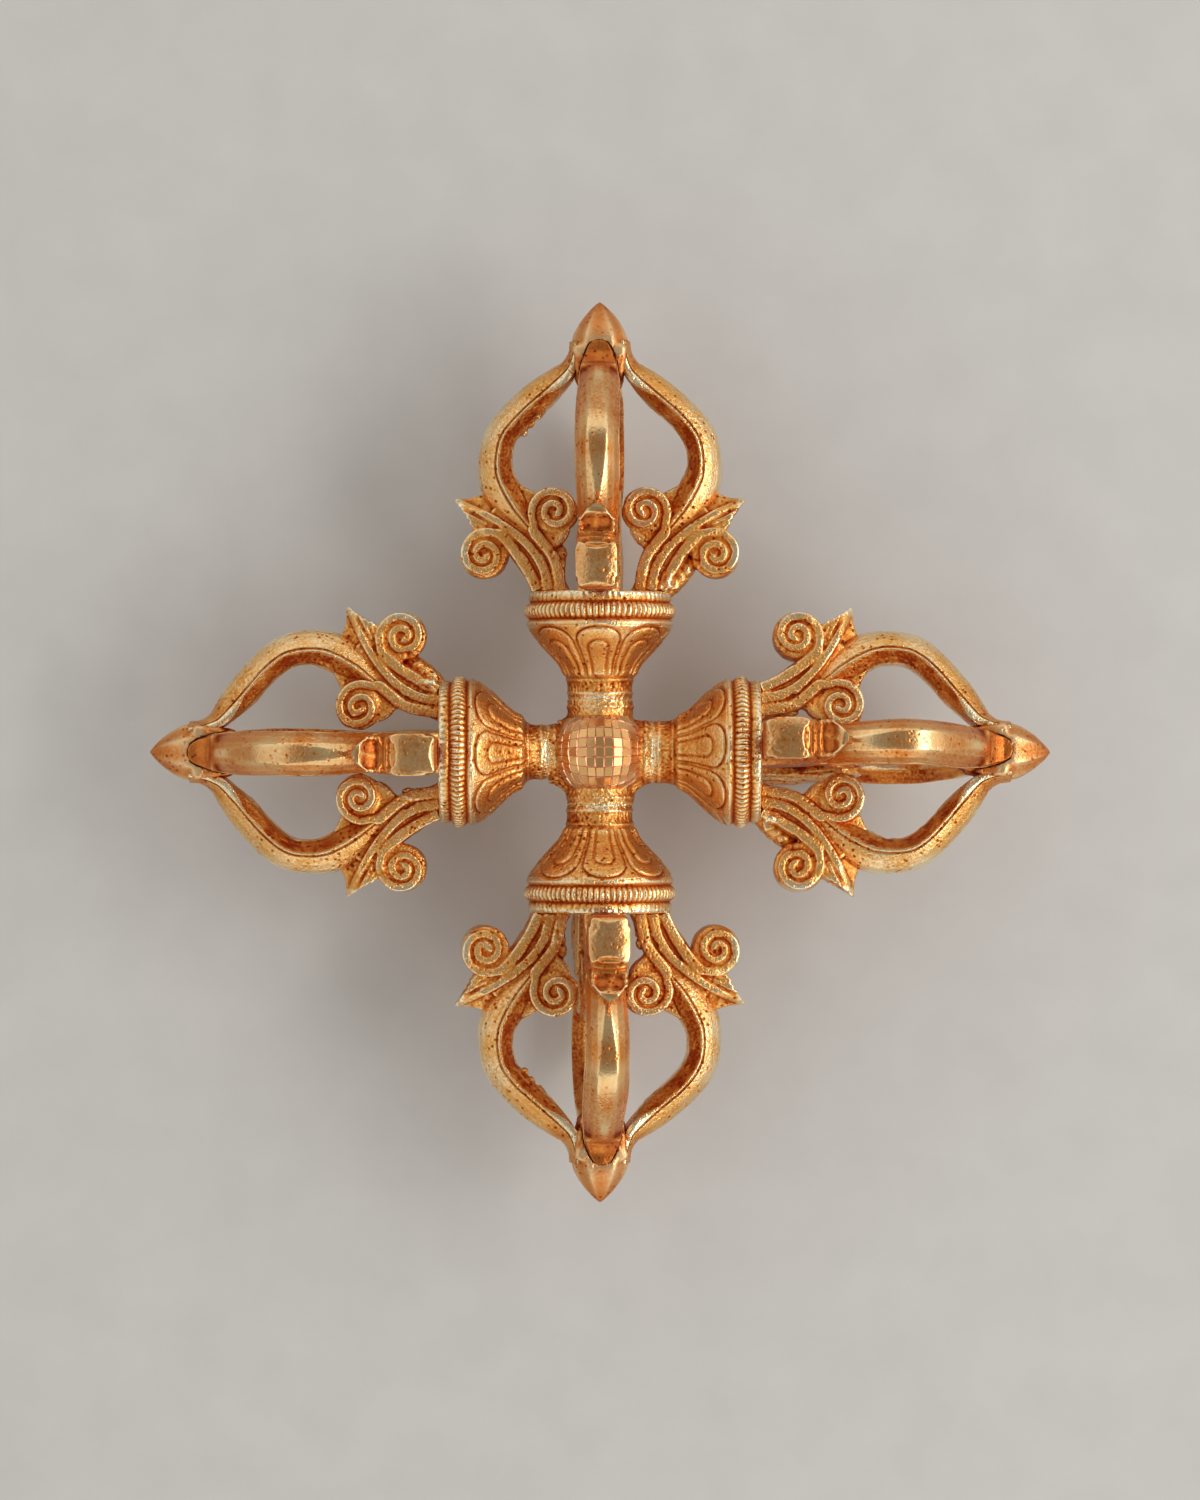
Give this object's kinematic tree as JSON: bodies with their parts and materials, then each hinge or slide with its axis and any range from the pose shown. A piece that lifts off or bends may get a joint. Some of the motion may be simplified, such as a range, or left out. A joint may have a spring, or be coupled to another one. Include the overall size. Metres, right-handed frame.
{
  "type": "crossed vajra",
  "caption": "Crossed vajra of gilt metal: an engraved ball carries lotus-based arms, each a cage of scrolled prongs that close on a pointed tip. Lies flat on its leaf points.",
  "frame": {"origin": "centre of the hub's ball, which is the middle of the whole object", "axes": "+X along the east arm, +Y along the north arm, +Z out of the arms' plane towards the viewer"},
  "size_m": [0.15, 0.15, 0.0472],
  "materials": {
    "engraved_gilt": "polished gilding, engraved squares, red in the cuts",
    "cast_gilt": "cast gilt copper, orange-red in the recesses",
    "burnished_gilt": "burnished pale gilding"
  },
  "bodies": {
    "root": {"hub": "engraved_gilt", "lotus_base_east": "cast_gilt", "lotus_base_north": "cast_gilt", "lotus_base_west": "cast_gilt", "lotus_base_south": "cast_gilt", "centre_prong_east": "burnished_gilt", "centre_prong_north": "burnished_gilt", "centre_prong_west": "burnished_gilt", "centre_prong_south": "burnished_gilt", "front_prong_east": "burnished_gilt", "front_prong_north": "burnished_gilt", "front_prong_west": "burnished_gilt", "front_prong_south": "burnished_gilt", "right_prong_east": "cast_gilt", "right_prong_north": "cast_gilt", "right_prong_west": "cast_gilt", "right_prong_south": "cast_gilt", "rear_prong_east": "cast_gilt", "rear_prong_north": "cast_gilt", "rear_prong_west": "cast_gilt", "rear_prong_south": "cast_gilt", "left_prong_east": "cast_gilt", "left_prong_north": "cast_gilt", "left_prong_west": "cast_gilt", "left_prong_south": "cast_gilt"}
  },
  "joints": []
}
